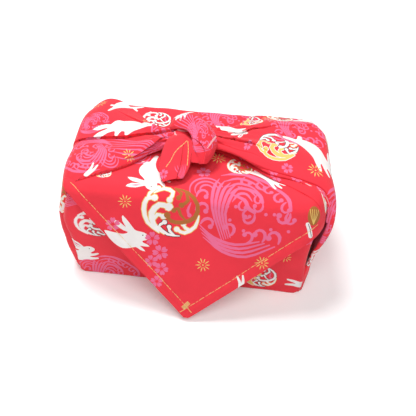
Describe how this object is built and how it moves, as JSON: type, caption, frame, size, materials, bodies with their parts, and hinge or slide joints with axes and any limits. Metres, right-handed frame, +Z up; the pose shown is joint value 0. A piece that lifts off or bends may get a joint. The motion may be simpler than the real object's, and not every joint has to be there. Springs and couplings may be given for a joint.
{
  "type": "furoshiki wrap",
  "caption": "Square of printed cotton wrapped round a box, with a knotted gather on top and its pointed corner hanging over the front; covers and carries a gift or lunch box.",
  "frame": {"origin": "middle of the flat underside, on the surface it rests on", "axes": "+X along the wrapped box, with the shorter tail of the knot on its left (-X); -Y is the front, where the pointed corner hangs; +Z up"},
  "size_m": [0.2046, 0.1532, 0.1218],
  "materials": {
    "printed_cotton": "matt printed cotton, hemmed with gold thread"
  },
  "bodies": {
    "root": {"furoshiki_cloth": "printed_cotton"}
  },
  "joints": []
}
